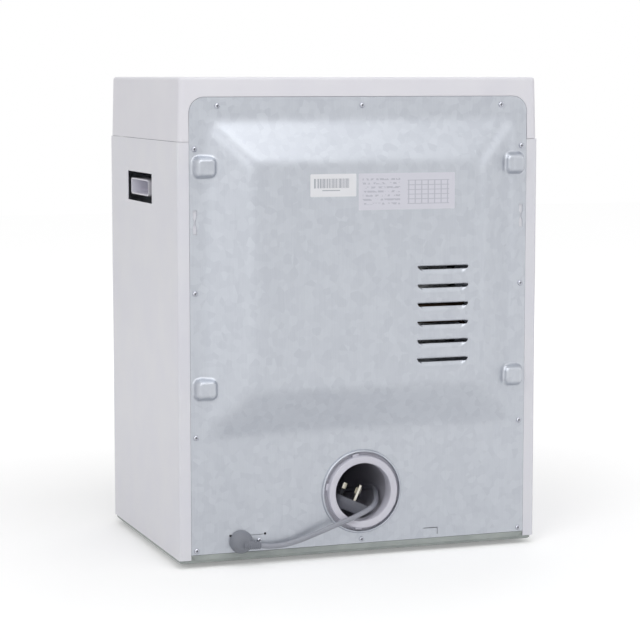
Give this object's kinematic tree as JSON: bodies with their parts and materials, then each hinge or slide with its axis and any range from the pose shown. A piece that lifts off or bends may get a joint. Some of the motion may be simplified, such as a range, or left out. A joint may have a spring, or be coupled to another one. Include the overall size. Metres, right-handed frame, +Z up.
{
  "type": "tumble dryer",
  "caption": "Compact vented tumble dryer with a round front door, a belt-driven drum, a pressed rear panel with louvres and a rear vent that holds its mains lead.",
  "frame": {"origin": "on the floor under the middle of the machine's box", "axes": "+Z up, front with the door towards -Y, back with the vent towards +Y, +X to the right as seen from the front"},
  "size_m": [0.495, 0.4021, 0.625],
  "materials": {
    "white_steel": "white powder coat, satin",
    "white_plastic": "moulded ABS, satin",
    "grip_plastic": "moulded, fine grain",
    "zinc_steel": "hot-dip galvanised sheet, pressed",
    "pan": "galvanised, dull",
    "foot_rubber": "moulded rubber",
    "screw_steel": "zinc plated",
    "label": "printed film",
    "fascia": "moulded, silver grey",
    "knob": "moulded, satin",
    "dark_plastic": "moulded, dark",
    "liner": "moulded",
    "smoked_glass": "smoked, glossy",
    "seal": "extruded",
    "felt": "pressed felt",
    "drum_steel": "zinc coated, rolled",
    "white_nylon": "moulded",
    "bronze": "sintered",
    "cast": "die cast",
    "belt_rubber": "ribbed",
    "motor_steel": "painted",
    "duct_plastic": "moulded",
    "filter": "moulded frame and mesh",
    "ring_plastic": "moulded",
    "element": "sheathed, oxidised",
    "can": "drawn",
    "grey_rubber": "moulded PVC",
    "cord": "PVC sheath",
    "pin_brass": "plated"
  },
  "bodies": {
    "cabinet": {"base_pan": "pan", "feet": "foot_rubber", "side_panel_left": "white_steel", "side_panel_right": "white_steel", "grip_left": "grip_plastic", "grip_right": "grip_plastic", "rear_panel": "zinc_steel", "rear_screws": "screw_steel", "rating_labels": "label", "front_panel": "white_steel", "top_cover": "white_plastic", "control_fascia": "fascia", "control_switches": "dark_plastic", "hinge_bracket": "white_plastic", "hinge_pin": "screw_steel", "door_latch": "dark_plastic", "rear_bearing": "bronze", "bearing_housing": "cast", "front_bulkhead": "zinc_steel", "rear_bulkhead": "zinc_steel", "drum_seals": "felt", "glide_pads": "white_nylon", "drive_belt": "belt_rubber", "motor_body": "motor_steel", "motor_cradle": "zinc_steel", "idler_bracket": "zinc_steel", "idler_spring": "screw_steel", "fan_housing": "duct_plastic", "front_duct": "duct_plastic", "exhaust_duct": "duct_plastic", "vent_ring": "ring_plastic", "heater_housing": "zinc_steel", "heater_element": "element", "capacitor": "can", "terminal_block": "white_nylon", "cord_grip": "grey_rubber", "power_cord": "cord", "cord_coil": "cord", "power_plug": "cord", "plug_pins": "pin_brass"},
    "door": {"door_outer": "white_plastic", "door_liner": "liner", "door_window": "smoked_glass", "door_seal": "seal", "door_catch": "grip_plastic"},
    "drum": {"drum_shell": "drum_steel", "drum_back": "drum_steel", "drum_lifters": "white_nylon", "drum_shaft": "screw_steel"},
    "rotor": {"motor_shaft": "screw_steel", "motor_pulley": "cast", "fan_impeller": "white_nylon"},
    "idler_lever": {"idler_arm": "cast"},
    "idler_wheel": {"idler_pulley": "white_nylon"},
    "timer": {"timer_knob": "knob"},
    "heat": {"heat_knob": "knob"},
    "start": {"start_button": "knob"},
    "plunger": {"door_plunger": "grip_plastic"},
    "filter": {"lint_filter": "filter"}
  },
  "joints": [
    {"name": "door_swing", "type": "hinge", "parent": "cabinet", "child": "door", "pos_m": [-0.193, -0.183, 0.355], "axis": [0, 0, -1], "range_deg": [0, 150]},
    {"name": "drum_spin", "type": "hinge", "parent": "cabinet", "child": "drum", "pos_m": [0, 0, 0.355], "axis": [0, 1, 0], "continuous": true},
    {"name": "rotor_spin", "type": "hinge", "parent": "cabinet", "child": "rotor", "pos_m": [-0.165, 0, 0.11], "axis": [0, 1, 0], "continuous": true},
    {"name": "idler_swing", "type": "hinge", "parent": "cabinet", "child": "idler_lever", "pos_m": [-0.08402, 0, 0.0345], "axis": [0, 1, 0], "range_deg": [0, 10], "stiffness_Nm_per_rad": 2, "springref_deg": -11.46},
    {"name": "idler_spin", "type": "hinge", "parent": "idler_lever", "child": "idler_wheel", "pos_m": [-0.07002, 0, 0.11014], "axis": [0, 1, 0], "continuous": true},
    {"name": "timer_turn", "type": "hinge", "parent": "cabinet", "child": "timer", "pos_m": [0.1503, 0, 0.586], "axis": [0, 1, 0], "range_deg": [0, 330]},
    {"name": "heat_turn", "type": "hinge", "parent": "cabinet", "child": "heat", "pos_m": [0.0663, 0, 0.586], "axis": [0, 1, 0], "range_deg": [0, 180]},
    {"name": "start_press", "type": "slide", "parent": "cabinet", "child": "start", "axis": [0, 1, 0], "range_m": [0, 0.003], "stiffness_N_per_m": 300},
    {"name": "plunger_press", "type": "slide", "parent": "cabinet", "child": "plunger", "axis": [0, 1, 0], "range_m": [0, 0.003], "stiffness_N_per_m": 200},
    {"name": "filter_pull", "type": "slide", "parent": "cabinet", "child": "filter", "axis": [0, 0, 1], "range_m": [0, 0.08]}
  ],
  "couplings": [
    {"joint": "rotor_spin", "follows": "drum_spin", "ratio": 22.778},
    {"joint": "idler_spin", "follows": "drum_spin", "ratio": -17.083}
  ]
}
